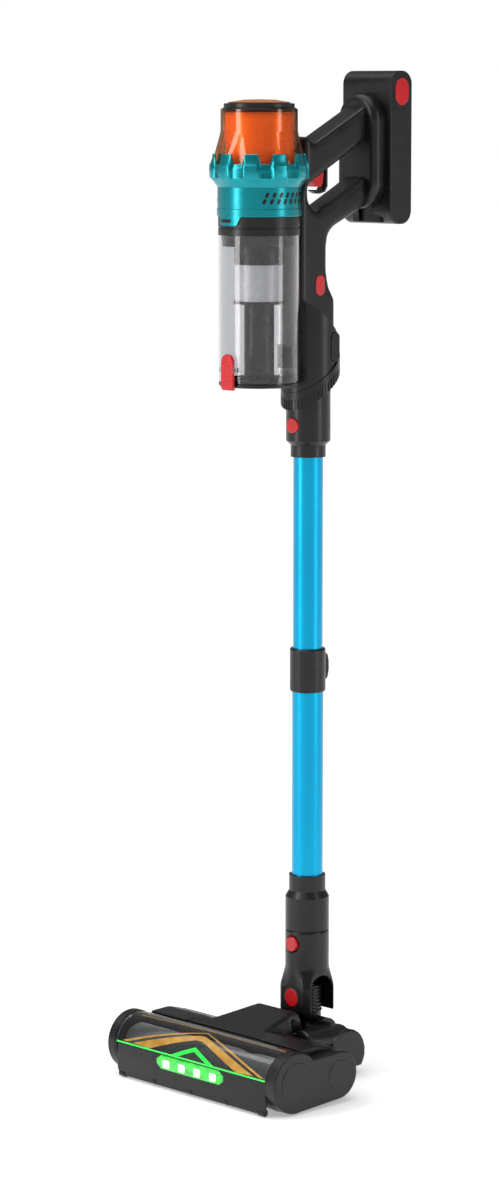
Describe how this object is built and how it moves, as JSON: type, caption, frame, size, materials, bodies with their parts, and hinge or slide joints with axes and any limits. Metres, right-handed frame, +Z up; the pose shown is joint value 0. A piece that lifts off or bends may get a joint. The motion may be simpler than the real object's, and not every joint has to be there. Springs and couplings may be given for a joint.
{
  "type": "cordless stick vacuum",
  "caption": "Upright cordless vacuum with brush head, leaning neck, telescopic wand, cyclone bin, trigger grip and clip-on battery.",
  "frame": {"origin": "on the floor, under the middle of the bounding box", "axes": "+Z up along the wand, -Y to the front of the floor head, +X to the right across the head"},
  "size_m": [0.27, 0.31, 1.126],
  "materials": {
    "dark_plastic": "satin moulded plastic",
    "black_plastic": "matt moulded plastic",
    "light_lens": "lit lens",
    "clear_window": "clear plastic",
    "steel": "plain steel",
    "steel_mesh": "fine steel mesh",
    "bristle": "soft pile",
    "motor_metal": "plain metal",
    "cell_metal": "sleeved cells",
    "gear_plastic": "natural nylon",
    "belt_rubber": "toothed rubber",
    "wheel_rubber": "soft rubber on a moulded wheel",
    "hose_plastic": "corrugated hose",
    "red_plastic": "glossy red plastic",
    "blue_metal": "anodised blue tube",
    "smoke_clear": "clear smoke plastic",
    "amber_clear": "clear amber plastic",
    "teal_plastic": "pearl teal plastic",
    "orange_filter": "pleated filter"
  },
  "bodies": {
    "head": {"head_base": "dark_plastic", "suction_duct": "dark_plastic", "front_bumper": "dark_plastic", "light_lens": "light_lens", "front_window": "clear_window", "end_cap_left": "dark_plastic", "end_cap_right": "dark_plastic", "brush_motor": "motor_metal", "drive_belt": "belt_rubber", "head_cover": "dark_plastic", "head_screws": "steel", "hinge_bracket": "dark_plastic", "pod_left": "dark_plastic", "pod_right": "dark_plastic", "axles_and_bearings": "steel"},
    "brush": {"roller_core": "dark_plastic", "roller_bristles": "bristle"},
    "brush_drive": {"motor_pulley": "gear_plastic"},
    "rear_wheel_left": {"rear_wheel_left": "wheel_rubber"},
    "rear_wheel_right": {"rear_wheel_right": "wheel_rubber"},
    "front_roller_left": {"front_roller_left": "wheel_rubber"},
    "front_roller_right": {"front_roller_right": "wheel_rubber"},
    "elbow": {"elbow": "black_plastic", "neck_hose": "hose_plastic"},
    "neck": {"neck_yoke": "dark_plastic", "swivel_pins": "red_plastic"},
    "neck_button": {"neck_button": "red_plastic"},
    "wand_low": {"wand_foot": "dark_plastic", "lower_tube": "blue_metal", "height_collar": "dark_plastic"},
    "height_button": {"height_button": "dark_plastic"},
    "wand_high": {"upper_tube": "blue_metal", "wand_adapter": "dark_plastic"},
    "adapter_button": {"adapter_button": "red_plastic"},
    "hand_unit": {"inlet_barrel": "dark_plastic", "toothed_ring": "black_plastic", "frame_right": "dark_plastic", "frame_left": "dark_plastic", "frame_screws": "steel", "dock_plate": "dark_plastic", "dust_bin": "smoke_clear", "bin_collar": "dark_plastic", "cyclone": "black_plastic", "mesh_screen": "steel_mesh", "motor_housing": "teal_plastic", "crown": "teal_plastic", "suction_motor": "motor_metal", "filter_core": "orange_filter"},
    "trigger": {"trigger": "red_plastic"},
    "bin_release": {"bin_release_button": "red_plastic"},
    "side_button": {"side_button": "black_plastic"},
    "cap": {"filter_cap": "amber_clear", "cap_ring": "dark_plastic"},
    "impeller": {"impeller": "gear_plastic"},
    "flap": {"bin_flap": "smoke_clear"},
    "latch": {"flap_latch": "red_plastic"},
    "battery": {"battery_case": "dark_plastic", "battery_cells": "cell_metal"},
    "battery_button_left": {"battery_button_left": "red_plastic"},
    "battery_button_right": {"battery_button_right": "red_plastic"}
  },
  "joints": [
    {"name": "brush_spin", "type": "hinge", "parent": "head", "child": "brush", "pos_m": [0, -0.121, 0.0286], "axis": [1, 0, 0], "continuous": true},
    {"name": "brush_motor_spin", "type": "hinge", "parent": "head", "child": "brush_drive", "pos_m": [0, -0.0585, 0.031], "axis": [1, 0, 0], "continuous": true},
    {"name": "rear_wheel_left_spin", "type": "hinge", "parent": "head", "child": "rear_wheel_left", "pos_m": [-0.05, 0.0315, 0.023], "axis": [1, 0, 0], "continuous": true},
    {"name": "rear_wheel_right_spin", "type": "hinge", "parent": "head", "child": "rear_wheel_right", "pos_m": [0.05, 0.0315, 0.023], "axis": [1, 0, 0], "continuous": true},
    {"name": "front_roller_left_spin", "type": "hinge", "parent": "head", "child": "front_roller_left", "pos_m": [-0.095, -0.0825, 0.006], "axis": [1, 0, 0], "continuous": true},
    {"name": "front_roller_right_spin", "type": "hinge", "parent": "head", "child": "front_roller_right", "pos_m": [0.095, -0.0825, 0.006], "axis": [1, 0, 0], "continuous": true},
    {"name": "neck_lean", "type": "hinge", "parent": "head", "child": "elbow", "pos_m": [0, 0.0295, 0.044], "axis": [-1, 0, 0], "range_deg": [0, 75], "deforming": ["neck_hose"]},
    {"name": "neck_swivel", "type": "hinge", "parent": "elbow", "child": "neck", "pos_m": [0, 0.0295, 0.085], "axis": [0, 1, 0], "range_deg": [-45, 45]},
    {"name": "neck_button_press", "type": "slide", "parent": "neck", "child": "neck_button", "axis": [0, 1, 0], "range_m": [0, 0.0018], "stiffness_N_per_m": 500, "springref_m": -0.002},
    {"name": "wand_lift_off", "type": "slide", "parent": "neck", "child": "wand_low", "axis": [0, 0, 1], "range_m": [0, 0.045]},
    {"name": "height_slide", "type": "slide", "parent": "wand_low", "child": "wand_high", "axis": [0, 0, -1], "range_m": [0, 0.19]},
    {"name": "height_button_press", "type": "slide", "parent": "wand_low", "child": "height_button", "axis": [0, -1, 0], "range_m": [0, 0.0015], "stiffness_N_per_m": 500, "springref_m": -0.002},
    {"name": "adapter_button_press", "type": "slide", "parent": "wand_high", "child": "adapter_button", "axis": [0, 1, 0], "range_m": [0, 0.0018], "stiffness_N_per_m": 500, "springref_m": -0.002},
    {"name": "unit_lift_off", "type": "slide", "parent": "wand_high", "child": "hand_unit", "axis": [0, 0, 1], "range_m": [0, 0.055]},
    {"name": "trigger_pull", "type": "hinge", "parent": "hand_unit", "child": "trigger", "pos_m": [0, 0.0425, 1.024], "axis": [1, 0, 0], "range_deg": [0, 8], "stiffness_Nm_per_rad": 0.05, "springref_deg": -6.88},
    {"name": "bin_release_press", "type": "slide", "parent": "hand_unit", "child": "bin_release", "axis": [-1, 0, 0], "range_m": [0, 0.0015], "stiffness_N_per_m": 500, "springref_m": -0.002},
    {"name": "side_button_press", "type": "slide", "parent": "hand_unit", "child": "side_button", "axis": [-1, 0, 0], "range_m": [0, 0.0014], "stiffness_N_per_m": 500, "springref_m": -0.002},
    {"name": "cap_twist", "type": "hinge", "parent": "hand_unit", "child": "cap", "pos_m": [0, -0.0469, 1.0391], "axis": [0, 0, 1], "range_deg": [0, 30]},
    {"name": "impeller_spin", "type": "hinge", "parent": "hand_unit", "child": "impeller", "pos_m": [0, -0.0469, 0.9831], "axis": [0, 0, 1], "continuous": true},
    {"name": "flap_open", "type": "hinge", "parent": "hand_unit", "child": "flap", "pos_m": [0, -0.0037, 0.7835], "axis": [1, 0, 0], "range_deg": [0, 80]},
    {"name": "latch_rock", "type": "hinge", "parent": "hand_unit", "child": "latch", "pos_m": [0, -0.0943, 0.803], "axis": [-1, 0, 0], "range_deg": [0, 5], "stiffness_Nm_per_rad": 0.03, "springref_deg": -5.73},
    {"name": "battery_lift_off", "type": "slide", "parent": "hand_unit", "child": "battery", "axis": [0, 0, 1], "range_m": [0, 0.09]},
    {"name": "battery_button_left_press", "type": "slide", "parent": "battery", "child": "battery_button_left", "axis": [1, 0, 0], "range_m": [0, 0.0015], "stiffness_N_per_m": 500, "springref_m": -0.002},
    {"name": "battery_button_right_press", "type": "slide", "parent": "battery", "child": "battery_button_right", "axis": [-1, 0, 0], "range_m": [0, 0.0015], "stiffness_N_per_m": 500, "springref_m": -0.002}
  ],
  "couplings": [
    {"joint": "brush_motor_spin", "follows": "brush_spin", "ratio": 2.1024}
  ]
}
